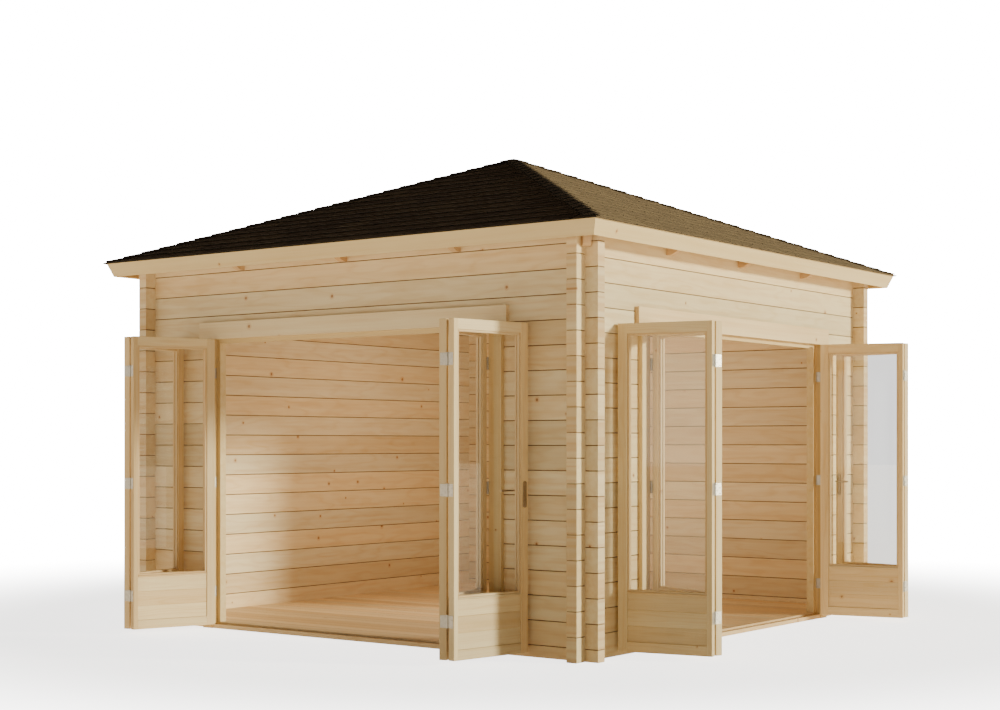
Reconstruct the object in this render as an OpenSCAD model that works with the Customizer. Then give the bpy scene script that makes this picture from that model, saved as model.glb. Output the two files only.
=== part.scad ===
// Square log-built garden house with a pyramid roof and two folding glazed doorways.
// Millimetres, +Z up. The origin is on the ground at the middle of the house.
// +X is the right-hand wall, -Y the front wall. Both of them have a doorway.

/* [Log walls] */
// Width of the house over its wall faces, the same on all four sides
house_w = 3653; // [3400:1:4200]
// Thickness of the wall logs
log_t = 70; // [50:1:90]
// Height from one log joint to the next
log_h = 145; // [135:1:160]
// Number of log heights in a wall
courses = 17; // [16:1:20]
// How far the crossed log ends stand past the wall faces
log_end = 87; // [60:1:120]
// Bevel along the edges of the logs
log_bevel = 4; // [2:0.5:8]
// Width of the tongue on top of a log
tongue_w = 24; // [16:1:30]
// Height of the tongue
tongue_h = 9; // [5:1:14]
// How far each side of the tongue slants in towards its top
tongue_slant = 2; // [0:0.5:4]
// Play between logs, and where other pieces are let into them
play = 0.4; // [0.2:0.1:1]

/* [Floor] */
// Thickness of the floor boards
floor_t = 19; // [16:1:28]
// Height of the flat joists under the floor
joist_h = 21; // [18:1:45]
// Width of a joist
joist_w = 60; // [45:1:100]
// Joists on each side of the middle one
joist_pairs = 3; // [2:1:4]
// Width of a floor board
floor_board_w = 116; // [90:1:146]
// Depth of the V cut along each edge of a floor or roof board
board_vee = 1.5; // [0.5:0.5:4]
// Gap between the floor and the walls
floor_gap = 0.5; // [0.3:0.1:5]

/* [Doorways] */
// Width between the rebates of a door frame
door_w = 2326; // [1900:2:2480]
// Height of the rebate of a door frame above the ground
door_h = 1946; // [1850:2:2060]
// Thickness of the frame beside the rebate
frame_t = 30; // [20:1:45]
// Least height of log over a frame, or the frame is made as high as the log
log_rest = 50; // [30:1:70]
// How far the frame's inner lip stands into the doorway
frame_lip = 28; // [15:1:40]
// Thickness of the casing boards on the outside
casing_t = 28; // [18:1:40]
// Width of the casing boards beside a doorway
casing_w = 90; // [55:1:110]
// Height of the casing board over a doorway
head_casing_h = 112; // [80:1:140]
// How far the head casing stands past the side casings
head_casing_end = 36; // [0:1:50]
// Height of the threshold under the closed leaves
sill_h = 27; // [18:1:35]
// How far the threshold stands out from the wall face
sill_out = 20; // [0:1:28]

/* [Door leaves] */
// Thickness of a leaf
leaf_t = 45; // [38:1:52]
// Height of a leaf's lower edge above the ground
leaf_z = 31; // [25:1:45]
// Gap between a leaf and its neighbour, the jamb or the head
leaf_gap = 3; // [2.5:0.5:5]
// Width of the stile at the jamb or at the free edge
stile_w = 57; // [50:1:80]
// Width of the stile at the folding joint
joint_stile_w = 31; // [25:1:50]
// Height of the top rail
top_rail_h = 60; // [45:1:90]
// Height of the bottom rail
bottom_rail_h = 59; // [45:1:90]
// Height of the wooden panel over the bottom rail
panel_h = 290; // [200:5:500]
// Depth of the panel behind the faces of the leaf
panel_recess = 5; // [2:1:10]
// Width of the glazing beads
bead_w = 9; // [6:1:14]
// Depth of the glazing beads behind the faces of the leaf
bead_recess = 10; // [5:1:14]
// Thickness of the glass
glass_t = 4; // [3:1:6]
// How far the glass stands into its groove
glass_in = 5; // [3:1:7]
// Lean of the front left pair from square to the wall
front_left_lean = 18.5; // [0:0.5:25]
// Angle between the leaves of the front left pair
front_left_vee = 28.5; // [15:0.5:40]
// Lean of the front right pair from square to the wall
front_right_lean = 14; // [0:0.5:25]
// Angle between the leaves of the front right pair
front_right_vee = 24; // [15:0.5:40]
// Lean of the near pair on the right-hand wall
near_lean = 20; // [0:0.5:25]
// Angle between the leaves of the near pair
near_vee = 30; // [15:0.5:40]
// Lean of the far pair on the right-hand wall
far_lean = 12; // [0:0.5:25]
// Angle between the leaves of the far pair
far_vee = 22.5; // [15:0.5:40]

/* [Hinges and handles] */
// Height of a hinge
hinge_h = 70; // [60:1:100]
// How far the hinge pin stands past the plates at each end
pin_tip = 3; // [1:0.5:6]
// Radius of the hinge knuckle
knuckle_r = 5.5; // [4:0.5:6]
// Distance of the hinge pin from the outer faces of the leaves
pin_out = 7; // [6:0.5:9]
// Width of a hinge plate on the edge of a leaf
plate_w = 39; // [24:1:44]
// Thickness of a hinge plate
plate_t = 1.2; // [0.8:0.1:1.4]
// Height of the lowest hinges above the lower edge of the leaf
low_hinge = 217; // [120:1:300]
// Height of the highest hinges above the lower edge of the leaf
high_hinge = 1686; // [1400:1:1750]
// Height of the middle of the handle plate above the lower edge of the leaf
handle_z = 918; // [800:1:1050]
// Height of the handle plates
handle_plate_h = 153; // [120:1:220]
// Width of the handle plates
handle_plate_w = 26; // [22:1:40]
// Thickness of the handle plates
handle_plate_t = 6; // [4:0.5:9]
// Height of the lever over the middle of its plate
lever_z = 21; // [0:1:40]
// Length of the lever
lever_l = 105; // [80:1:125]
// Radius of the lever
lever_r = 5.5; // [4:0.5:9]
// Distance of the lever from the handle plate
lever_out = 38; // [30:1:50]

/* [Roof] */
// Pitch of the roof
pitch = 21.3; // [17:0.1:26]
// Distance of the top edge of the fascia from the wall faces
overhang = 204; // [160:1:260]
// Width of the common rafters
rafter_w = 45; // [36:1:60]
// Depth of the common rafters
rafter_d = 150; // [100:1:165]
// Width of the hip rafters
hip_w = 48; // [40:1:60]
// Depth of the hip rafters
hip_d = 182; // [115:1:190]
// Distance of the outer common rafters from the middle one
rafter_step = 909; // [700:1:1000]
// Depth of the notch that seats a common rafter on the wall
notch_d = 72; // [25:1:85]
// Radius of the rounded tails of the common rafters
tail_r = 95; // [20:1:110]
// Distance from the fascia to the rounding of the common rafters
tail_back = 60; // [0:1:85]
// Radius of the rounded tails of the hip rafters
hip_tail_r = 36; // [20:1:90]
// Distance from the fascia to the rounding of the hip rafters
hip_tail_back = 110; // [0:1:140]
// Depth that a rafter keeps from its rounding out to the fascia
tail_lip = 60; // [40:1:75]
// Thickness of the roof boards
roof_board_t = 19; // [16:1:24]
// Width of a roof board
roof_board_w = 96; // [80:1:140]
// Thickness of the fascia boards
fascia_t = 19; // [16:1:28]
// Height of the fascia boards
fascia_h = 100; // [70:1:125]
// Thickness of the blocks between the rafters
block_t = 45; // [30:1:48]
// Height of the hub that the rafters meet
hub_h = 220; // [180:1:300]
// Length of a shingle course that stays uncovered
shingle_step = 135; // [110:1:160]
// Thickness of the shingle covering where a course begins
shingle_butt = 9; // [6:0.5:12]
// Thickness of the shingle covering where a course ends
shingle_thin = 4; // [3:0.5:5]
// How far the shingles stand past the fascia
shingle_drip = 16; // [8:1:25]

/* [Hidden] */
$fn = 48;
half = house_w / 2;                    // middle of the house to a wall face
inner = half - log_t;
wall_h = courses * log_h;
eps = 1;                               // how far a cut runs past a face
far = 3 * house_w;

frame_w = door_w + 2 * frame_t;        // outer size of a door frame
frame_h = door_h + frame_t;
cut_w = frame_w + 2 * play;            // gap that a door frame fills in the logs

leaf_w = (door_w - 5 * leaf_gap) / 4;
leaf_h = door_h - leaf_gap - leaf_z;
leaf_face = -half - casing_t;          // outer faces of the closed leaves
pin_y = leaf_face - pin_out;
jamb_pin = [door_w / 2 - leaf_gap / 2, pin_y];
fold_pin = [jamb_pin[0] - leaf_w - leaf_gap, pin_y];
glass_z = bottom_rail_h + panel_h;     // lower edge of the glazed part of a leaf
hinge_zs = [low_hinge, (low_hinge + high_hinge) / 2, high_hinge];
groove_t = glass_t + 2 * play;
floor_z = joist_h + floor_t;

hip_pitch = atan(tan(pitch) / sqrt(2));
eave_half = half + overhang;
roof_under = wall_h - notch_d + rafter_d / cos(pitch);      // under the roof boards at the wall faces
eave_z = roof_under + roof_board_t / cos(pitch) - overhang * tan(pitch);
slope_l = eave_half / cos(pitch);
hub_w = (max(rafter_w, hip_w) + 2 * play) * (1 + sqrt(2));
hip_under = roof_board_t / cos(pitch) * cos(hip_pitch);
shingle_rows = ceil((slope_l + shingle_drip) / shingle_step);

// ---- Logs ----

// Section of a log, bevelled along its faces, with a tongue on top and a groove below
function log_section(h, tongue, groove) =
    let (t = log_t / 2, b = log_bevel, low = play / 2, top = h - play / 2,
         tw = tongue_w / 2, gw = tw + play, gh = low + tongue_h + play)
    concat(
        [[-t, low + b], [-t + b, low]],
        groove ? [[-gw, low], [-gw + tongue_slant, gh], [gw - tongue_slant, gh], [gw, low]] : [],
        [[t - b, low], [t, low + b], [t, top - b], [t - b, top]],
        tongue ? [[tw, top], [tw - tongue_slant, top + tongue_h], [tongue_slant - tw, top + tongue_h], [-tw, top]] : [],
        [[-t + b, top], [-t, top - b]]
    );

// Heights of the log joints of a wall that starts with a half log or a full one
function joints(half_first) = half_first
    ? concat([0], [for (n = [0 : courses - 1]) (n + 0.5) * log_h], [wall_h])
    : [for (n = [0 : courses]) n * log_h];

// Top of a door frame in such a wall, raised to the joint above where too little log would stay
function frame_top(half_first) =
    let (above = min([for (z = joints(half_first)) if (z > frame_h) z]))
    above - frame_h - play < log_rest ? above - play : frame_h;

// One log of the front wall, let into the logs that cross it at both corners
module crossed_log(z0, z1, half_first) {
    first = z0 < eps;
    last = z1 > wall_h - eps;
    low_cut = !(half_first && first);
    top_cut = !(half_first && last);
    difference() {
        translate([0, -half + log_t / 2, z0])
            rotate([90, 0, 90])
                linear_extrude(2 * (half + log_end), center = true)
                    polygon(log_section(z1 - z0, !last, !first));
        for (side = [-1, 1]) translate([side * (half - log_t / 2), -half + log_t / 2, 0]) {
            if (low_cut) notch(z0 - eps, z0 + log_h / 4 + play / 2);
            if (top_cut) notch(z1 - log_h / 4 - play / 2, z1 + tongue_h + eps);
        }
    }
}

module notch(z0, z1) {
    w = log_t + 2 * play;
    translate([-w / 2, -w / 2, z0]) cube([w, w, z1 - z0]);
}

module whole_wall(half_first) {
    zs = joints(half_first);
    for (n = [0 : len(zs) - 2]) crossed_log(zs[n], zs[n + 1], half_first);
}

// Logs beside a doorway: side is -1 left of it and 1 right of it
module wall_beside_door(half_first, side) {
    zs = joints(half_first);
    for (n = [0 : len(zs) - 2]) if (zs[n + 1] < frame_top(half_first) + eps)
        intersection() {
            crossed_log(zs[n], zs[n + 1], half_first);
            translate([side > 0 ? cut_w / 2 : -far, -far, -eps]) cube([far - cut_w / 2, 2 * far, far]);
        }
}

// Logs over a doorway, the lowest one cut round the door frame
module wall_over_door(half_first) {
    zs = joints(half_first);
    top = frame_top(half_first);
    for (n = [0 : len(zs) - 2]) if (zs[n + 1] >= top + eps)
        difference() {
            crossed_log(zs[n], zs[n + 1], half_first);
            translate([-cut_w / 2, -half - eps, 0]) cube([cut_w, log_t + 2 * eps, top + play]);
        }
}

// ---- Floor ----

module floor_joists() {
    color("tan") for (n = [-joist_pairs : joist_pairs])
        translate([n * (inner - floor_gap - joist_w / 2) / joist_pairs - joist_w / 2, -inner + floor_gap, 0])
            cube([joist_w, 2 * (inner - floor_gap), joist_h]);
}

// Tongued boards, with a small V along each joint
module floor_boards() {
    run = 2 * (inner - floor_gap);
    count = floor(run / floor_board_w);
    vee = board_vee;
    color("burlywood") translate([0, 0, joist_h]) rotate([90, 0, 90])
        linear_extrude(run, center = true)
            polygon(concat(
                [[-run / 2, 0], [run / 2, 0], [run / 2, floor_t]],
                [for (n = [count : -1 : 1], k = [1, 0, -1])
                    if (n * floor_board_w < run - vee)
                        [-run / 2 + n * floor_board_w + k * vee, k == 0 ? floor_t - 2 * vee : floor_t]],
                [[-run / 2, floor_t]]));
}

module threshold() {
    lip_w = door_w - 2 * frame_lip;
    rebate_y = leaf_face + leaf_t + leaf_gap / 2;
    color("wheat") {
        translate([-lip_w / 2 + play, rebate_y, 0]) cube([lip_w - 2 * play, -inner - rebate_y, floor_z]);
        translate([-door_w / 2 + play, -half - sill_out, 0])
            cube([door_w - 2 * play, half + sill_out + rebate_y - play, sill_h]);
        translate([-lip_w / 2 + play, rebate_y - 2 * play, 0]) cube([lip_w - 2 * play, 4 * play, sill_h]);
    }
}

// ---- Door frames ----

module portal(w, h, band, top, y0, y1) {
    translate([0, y1, 0]) rotate([90, 0, 0]) linear_extrude(y1 - y0) difference() {
        translate([-w / 2 - band, 0]) square([w + 2 * band, top]);
        translate([-w / 2, -eps]) square([w, h + eps]);
    }
}

// Rebated frame round the cut ends of the logs
module door_frame(half_first) {
    rebate_y = leaf_face + leaf_t + leaf_gap / 2;
    top = frame_top(half_first);
    color("wheat") {
        portal(door_w, door_h, frame_t, top, -half, -inner);
        portal(door_w - 2 * frame_lip, door_h - frame_lip, frame_lip + frame_t / 2, top, rebate_y, -inner);
    }
}

module side_casings() {
    color("burlywood") for (side = [-1, 1])
        translate([side * (door_w + casing_w) / 2 - casing_w / 2, leaf_face, 0])
            cube([casing_w, casing_t, door_h]);
}

module head_casing() {
    w = door_w + 2 * (casing_w + head_casing_end);
    color("burlywood") translate([-w / 2, leaf_face, door_h]) cube([w, casing_t, head_casing_h]);
}

// ---- Door leaves ----

// Places a closed leaf's children at its open pose. side: -1 left pair, 1 right pair.
// The jamb leaf turns on the jamb pin, the lead leaf folds back on the fold pin.
module open_pose(side, lean) {
    mirror([side > 0 ? 0 : 1, 0, 0]) turn_about(jamb_pin, 90 + lean) children();
}

module fold_pose(side, lean, vee) {
    open_pose(side, lean) turn_about(fold_pin, 180 - vee) children();
}

module turn_about(pin, angle) {
    translate([pin[0], pin[1], 0]) rotate([0, 0, angle]) translate([-pin[0], -pin[1], 0]) children();
}

// The jamb leaf stands with its wide stile at the jamb, the lead leaf with it at the free edge
module jamb_place() {
    translate([door_w / 2 - leaf_gap, leaf_face, leaf_z]) mirror([1, 0, 0]) children();
}

module lead_place() {
    translate([door_w / 2 - 2 * (leaf_w + leaf_gap), leaf_face, leaf_z]) children();
}

// Glazed leaf from its wide stile at x = 0 to its joint stile, outer face at y = 0
module leaf() {
    glazed_w = leaf_w - stile_w - joint_stile_w;
    glazed_h = leaf_h - top_rail_h - glass_z;
    color("wheat") difference() {
        cube([leaf_w, leaf_t, leaf_h]);
        for (y = [-eps, leaf_t - bead_recess]) translate([stile_w, y, glass_z])
            cube([glazed_w, bead_recess + eps, glazed_h]);
        translate([stile_w + bead_w, -eps, glass_z + bead_w])
            cube([glazed_w - 2 * bead_w, leaf_t + 2 * eps, glazed_h - 2 * bead_w]);
        translate([stile_w + bead_w - glass_in - play, (leaf_t - groove_t) / 2, glass_z + bead_w - glass_in - play])
            cube([glazed_w - 2 * (bead_w - glass_in - play), groove_t,
                  glazed_h - 2 * (bead_w - glass_in - play)]);
        for (y = [-eps, leaf_t - panel_recess]) translate([stile_w, y, bottom_rail_h])
            cube([glazed_w, panel_recess + eps, panel_h - bead_w]);
    }
}

module pane() {
    inset = bead_w - glass_in;
    color("lightblue", 0.4) translate([stile_w + inset, (leaf_t - glass_t) / 2, glass_z + inset])
        cube([leaf_w - stile_w - joint_stile_w - 2 * inset, glass_t, leaf_h - top_rail_h - glass_z - 2 * inset]);
}

module pair_glass(side, lean, vee) {
    open_pose(side, lean) jamb_place() pane();
    fold_pose(side, lean, vee) lead_place() pane();
}

// Butt hinge on its pin, the second plate turned with the leaf that it carries
module hinge(angle) {
    slack = leaf_gap / 2 - plate_t;
    color("silver") {
        cylinder(r = knuckle_r, h = hinge_h + 2 * pin_tip, center = true);
        translate([slack, 0, -hinge_h / 2]) cube([plate_t, pin_out + plate_w, hinge_h]);
        rotate([0, 0, angle]) translate([-slack - plate_t, 0, -hinge_h / 2])
            cube([plate_t, pin_out + plate_w, hinge_h]);
    }
}

module pair_hinges(side, lean, vee) {
    for (z = hinge_zs) {
        mirror([side > 0 ? 0 : 1, 0, 0]) translate([jamb_pin[0], pin_y, leaf_z + z]) hinge(90 + lean);
        open_pose(side, lean) translate([fold_pin[0], pin_y, leaf_z + z]) hinge(180 - vee);
    }
}

// Long plate standing on the face y = 0 and pointing to -Y
module handle_plate() {
    translate([-handle_plate_w / 2, -handle_plate_t, -handle_plate_h / 2])
        cube([handle_plate_w, handle_plate_t, handle_plate_h]);
}

module lever() {
    rotate([90, 0, 0]) cylinder(r = lever_r, h = handle_plate_t + lever_out);
    translate([0, -handle_plate_t - lever_out, 0]) {
        sphere(r = lever_r);
        rotate([0, 90, 0]) cylinder(r = lever_r, h = lever_l);
    }
}

// Lever on the outer face of a lead leaf, plain plate on its inner face
module lead_handle(side, lean, vee) {
    color("dimgray") fold_pose(side, lean, vee) lead_place() translate([stile_w / 2, 0, handle_z]) {
        handle_plate();
        translate([0, 0, lever_z]) lever();
        translate([0, leaf_t, 0]) mirror([0, 1, 0]) handle_plate();
    }
}

// ---- Roof ----

// Turns the children to one side of the house: 0 front, 1 right, 2 back, 3 left
module on_side(n) { rotate([0, 0, 90 * n]) children(); }

// Frame of the front slope: +Y up the slope from the fascia's top edge, +Z out of the boards
module on_slope() {
    translate([0, -eave_half, eave_z]) rotate([pitch, 0, 0]) children();
}

// Part of the plan that belongs to the front slope, set back from the hips by the given gap
module slope_wedge(gap) {
    tip = -gap * sqrt(2);
    translate([0, 0, -eps]) linear_extrude(far) polygon([[0, tip], [far + tip, -far], [-far - tip, -far]]);
}

// Everything under the boards of the front slope and behind its fascia
module under_slope(behind) {
    on_slope() translate([-far, behind, -far - roof_board_t]) cube([2 * far, 2 * far, far]);
}

// A beam with a rounded lower end, its top face at z = 0, running along +Y from a shallow end
module tailed_beam(w, d, r, back) {
    near = max(back, eps);
    translate([-w / 2, 0, -tail_lip]) cube([w, near + r, tail_lip]);
    translate([-w / 2, near + r, -d]) cube([w, slope_l * 1.5, d]);
    intersection() {
        translate([-w / 2, near, -d]) cube([w, r + eps, d]);
        union() {
            translate([-w, near, r - d]) cube([2 * w, r + eps, d]);
            translate([0, near + r, r - d]) rotate([0, 90, 0]) cylinder(r = r, h = 2 * w, center = true);
        }
    }
}

module hub_core(gap) {
    w = hub_w + 2 * gap;
    translate([0, 0, eave_z]) rotate([0, 0, 22.5]) cylinder(r = w / 2 / cos(22.5), h = far, $fn = 8);
}

module common_rafters() {
    color("burlywood") for (n = [0 : 3], x = [-rafter_step, 0, rafter_step]) on_side(n)
        difference() {
            intersection() {
                on_slope() translate([x, fascia_t, -roof_board_t]) tailed_beam(rafter_w, rafter_d, tail_r, tail_back);
                slope_wedge(hip_w / 2 + play);
            }
            translate([x - rafter_w, -half - play, 0]) cube([2 * rafter_w, log_t + 2 * play, wall_h]);
            hub_core(play);
        }
}

module hip_rafters() {
    tail_y = (fascia_t * cos(pitch) + roof_board_t * sin(pitch)) * sqrt(2) * cos(hip_pitch);
    seat_l = log_t * sqrt(2) + hip_w;
    color("burlywood") for (n = [0 : 3]) on_side(n) rotate([0, 0, 45]) difference() {
        intersection() {
            translate([0, -eave_half * sqrt(2), eave_z]) rotate([hip_pitch, 0, 0])
                translate([0, tail_y, -hip_under]) tailed_beam(hip_w, hip_d, hip_tail_r, hip_tail_back * sqrt(2));
            rotate([0, 0, -45]) under_slope(fascia_t);
            rotate([0, 0, 45]) under_slope(fascia_t);
            translate([-far, -2 * far, 0]) cube([2 * far, 2 * far, far]);
        }
        translate([-hip_w, -half * sqrt(2) - hip_w / 2 - play, 0]) cube([2 * hip_w, seat_l, wall_h]);
        rotate([0, 0, -45]) hub_core(play);
    }
}

module roof_hub() {
    color("burlywood") intersection() {
        hub_core(0);
        translate([-far / 2, -far / 2, eave_z + (eave_half - hub_w / 2) * tan(pitch) - hub_h]) cube(far);
        for_all_slopes();
    }
}

module for_all_slopes() {
    intersection() {
        on_side(0) under_slope(0);
        on_side(1) under_slope(0);
        on_side(2) under_slope(0);
        on_side(3) under_slope(0);
    }
}

// Blocks on the walls that close the gaps between the rafters
module eave_blocks() {
    color("burlywood") for (n = [0 : 3]) on_side(n) difference() {
        intersection() {
            translate([-half, -half, wall_h]) cube([house_w, block_t, rafter_d]);
            under_slope(0);
            slope_wedge(hip_w / 2 + play);
        }
        for (x = [-rafter_step, 0, rafter_step])
            translate([x - rafter_w / 2 - play, -far, 0]) cube([rafter_w + 2 * play, far, far]);
    }
}

// Boards laid along the eaves, with a small V under each joint
module roof_boards() {
    vee = board_vee;
    count = floor((slope_l - fascia_t) / roof_board_w);
    color("burlywood") intersection() {
        on_slope() rotate([90, 0, 90]) linear_extrude(2 * eave_half + eps, center = true)
            polygon(concat(
                [[slope_l + roof_board_t, 0], [fascia_t, 0], [fascia_t, -roof_board_t]],
                [for (n = [1 : count], k = [-1, 0, 1])
                    [fascia_t + n * roof_board_w + k * vee, k == 0 ? vee - roof_board_t : -roof_board_t]],
                [[slope_l + roof_board_t, -roof_board_t]]));
        slope_wedge(play / 2);
    }
}

module fascia_boards() {
    color("wheat") for (n = [0 : 3]) on_side(n) intersection() {
        on_slope() translate([-far / 2, 0, -fascia_h]) cube([far, fascia_t, fascia_h]);
        slope_wedge(play / 2);
    }
}

// Stepped covering, each course thick at its lower edge and thin where the next one begins
module shingles(tone) {
    color(tone) intersection() {
        on_slope() rotate([90, 0, 90]) linear_extrude(2 * eave_half + 4 * shingle_drip, center = true)
            polygon(concat(
                [for (n = [0 : shingle_rows - 1], k = [0, 1])
                    [(n + k) * shingle_step - shingle_drip, k == 0 ? shingle_butt : shingle_thin]],
                [[shingle_rows * shingle_step - shingle_drip, 0], [-shingle_drip, 0]]));
        slope_wedge(play / 2);
    }
}

// ---- Nodes ----

floor_joists();
floor_boards();
threshold();  // front_threshold
on_side(1) threshold();  // right_threshold
color("burlywood") wall_beside_door(true, -1);  // front_wall_left
color("burlywood") wall_beside_door(true, 1);  // front_wall_right
color("burlywood") wall_over_door(true);  // front_wall_top
color("wheat") on_side(1) wall_beside_door(false, -1);  // right_wall_near
color("wheat") on_side(1) wall_beside_door(false, 1);  // right_wall_far
color("wheat") on_side(1) wall_over_door(false);  // right_wall_top
color("burlywood") on_side(2) whole_wall(true);  // back_wall
color("wheat") on_side(3) whole_wall(false);  // left_wall
door_frame(true);  // front_door_frame
on_side(1) door_frame(false);  // right_door_frame
side_casings();  // front_side_casings
on_side(1) side_casings();  // right_side_casings
head_casing();  // front_head_casing
on_side(1) head_casing();  // right_head_casing
open_pose(-1, front_left_lean) jamb_place() leaf();  // front_leaf_left_jamb
fold_pose(-1, front_left_lean, front_left_vee) lead_place() leaf();  // front_leaf_left_lead
open_pose(1, front_right_lean) jamb_place() leaf();  // front_leaf_right_jamb
fold_pose(1, front_right_lean, front_right_vee) lead_place() leaf();  // front_leaf_right_lead
on_side(1) open_pose(-1, near_lean) jamb_place() leaf();  // right_leaf_near_jamb
on_side(1) fold_pose(-1, near_lean, near_vee) lead_place() leaf();  // right_leaf_near_lead
on_side(1) open_pose(1, far_lean) jamb_place() leaf();  // right_leaf_far_jamb
on_side(1) fold_pose(1, far_lean, far_vee) lead_place() leaf();  // right_leaf_far_lead
union() {  // front_door_glass
    pair_glass(-1, front_left_lean, front_left_vee);
    pair_glass(1, front_right_lean, front_right_vee);
}
on_side(1) {  // right_door_glass
    pair_glass(-1, near_lean, near_vee);
    pair_glass(1, far_lean, far_vee);
}
union() {  // front_door_hinges
    pair_hinges(-1, front_left_lean, front_left_vee);
    pair_hinges(1, front_right_lean, front_right_vee);
}
on_side(1) {  // right_door_hinges
    pair_hinges(-1, near_lean, near_vee);
    pair_hinges(1, far_lean, far_vee);
}
lead_handle(1, front_right_lean, front_right_vee);  // front_door_handle
on_side(1) lead_handle(1, far_lean, far_vee);  // right_door_handle
eave_blocks();
common_rafters();
hip_rafters();
roof_hub();
on_side(0) roof_boards();  // front_roof_boards
on_side(1) roof_boards();  // right_roof_boards
on_side(2) roof_boards();  // back_roof_boards
on_side(3) roof_boards();  // left_roof_boards
fascia_boards();
on_side(0) shingles("#2b2522");  // front_shingles
on_side(1) shingles("#7a6748");  // right_shingles
on_side(2) shingles("#7a6748");  // back_shingles
on_side(3) shingles("#2b2522");  // left_shingles
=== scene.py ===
# Looks of the log garden house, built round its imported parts.
# Metres, Z up. The front wall looks to -Y, the right-hand wall to +X; each has a folding glazed doorway.
import math
import random

import bpy
from mathutils import Matrix, Vector


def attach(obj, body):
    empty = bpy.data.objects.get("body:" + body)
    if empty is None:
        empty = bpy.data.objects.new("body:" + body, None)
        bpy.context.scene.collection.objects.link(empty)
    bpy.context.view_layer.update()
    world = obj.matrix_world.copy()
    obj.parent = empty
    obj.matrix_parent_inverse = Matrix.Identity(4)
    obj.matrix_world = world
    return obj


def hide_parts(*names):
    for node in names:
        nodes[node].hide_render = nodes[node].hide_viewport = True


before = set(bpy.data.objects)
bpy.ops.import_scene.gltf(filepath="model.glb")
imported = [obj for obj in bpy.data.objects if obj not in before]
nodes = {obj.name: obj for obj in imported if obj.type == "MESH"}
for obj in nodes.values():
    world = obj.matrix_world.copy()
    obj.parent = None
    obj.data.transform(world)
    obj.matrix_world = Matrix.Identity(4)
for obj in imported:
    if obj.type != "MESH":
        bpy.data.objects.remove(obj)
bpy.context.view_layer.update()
print("packed parts loaded:", len(nodes))


def deselectAll():
    if bpy.context.object and bpy.context.object.mode != "OBJECT":
        bpy.ops.object.mode_set(mode="OBJECT")
    bpy.ops.object.select_all(action="DESELECT")


def useOnly(piece):
    deselectAll()
    piece.select_set(True)
    bpy.context.view_layer.objects.active = piece


def editAll(piece):
    useOnly(piece)
    bpy.ops.object.mode_set(mode="EDIT")
    bpy.ops.mesh.select_all(action="SELECT")


def leaveEdit():
    bpy.ops.object.mode_set(mode="OBJECT")


# Edits a piece with only the vertices, edges or faces selected that pass the test
def pick(piece, kind, test):
    editAll(piece)
    bpy.ops.mesh.select_mode(type=kind)
    bpy.ops.mesh.select_all(action="DESELECT")
    leaveEdit()
    for item in {"VERT": piece.data.vertices, "EDGE": piece.data.edges, "FACE": piece.data.polygons}[kind]:
        item.select = test(item)
    bpy.ops.object.mode_set(mode="EDIT")


def copyPiece(piece, name):
    copied = piece.copy()
    copied.data = piece.data.copy()  # each copy has its own mesh
    copied.name = copied.data.name = name
    bpy.context.scene.collection.objects.link(copied)
    return copied


def joinPieces(pieces, name):
    deselectAll()
    for piece in pieces:
        piece.select_set(True)
    bpy.context.view_layer.objects.active = pieces[0]
    if len(pieces) > 1:
        bpy.ops.object.join()
    joined = bpy.context.object
    joined.name = joined.data.name = name
    return joined


def applyPlace():
    bpy.ops.object.transform_apply(location=True, rotation=True, scale=True)


def turnOutward(piece):
    editAll(piece)
    bpy.ops.mesh.normals_make_consistent(inside=False)
    leaveEdit()


def putAt(piece, matrix):
    piece.matrix_world = matrix @ piece.matrix_world
    useOnly(piece)
    applyPlace()
    if matrix.determinant() < 0:  # a mirrored shape is inside out
        turnOutward(piece)
    return piece


def finishPiece(piece, finish, slotName, *stoodFor):
    piece.data.materials.clear()
    piece.data.materials.append(finish)
    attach(piece, "root")
    if stoodFor:
        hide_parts(*stoodFor)


def shifted(x, y, z):
    return Matrix.Translation((x, y, z))


def turned(degrees, axis="Z"):
    return Matrix.Rotation(math.radians(degrees), 4, axis)


def turnedAbout(pin, degrees):
    return shifted(pin[0], pin[1], 0) @ turned(degrees) @ shifted(-pin[0], -pin[1], 0)


mirrorX = Matrix.Scale(-1, 4, (1, 0, 0))

# Same sizes as in the construction
house = {"half": 1.8265, "inner": 1.7565, "logHeight": 0.145, "floorGap": 0.0005, "floorBoard": 0.116,
         "roofBoard": 0.096, "joistPitch": 0.58, "rafterPitch": 0.909, "doorHalf": 1.135}
roof = {"pitch": 21.3, "eaveHalf": 2.0305, "eaveZ": 2.49466, "drip": 0.016, "butt": 0.009, "thin": 0.004,
        "step": 0.135}
tilt = math.radians(roof["pitch"])
hipPitch = math.atan(math.tan(tilt) / math.sqrt(2))
leafSize = {"doorWidth": 2.326, "height": 1.912, "thick": 0.045, "gap": 0.003, "lift": 0.031, "casing": 0.028,
            "pinOut": 0.007, "stile": 0.057, "jointStile": 0.031, "topRail": 0.060, "bottomRail": 0.059,
            "panel": 0.290, "panelRecess": 0.005, "bead": 0.009, "beadWide": 0.013, "beadRecess": 0.005,
            "glass": 0.004}
leafSize["width"] = (leafSize["doorWidth"] - 5 * leafSize["gap"]) / 4
leafFace = -house["half"] - leafSize["casing"]
jambPin = (leafSize["doorWidth"] / 2 - leafSize["gap"] / 2, leafFace - leafSize["pinOut"])
foldPin = (jambPin[0] - leafSize["width"] - leafSize["gap"], jambPin[1])
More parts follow.
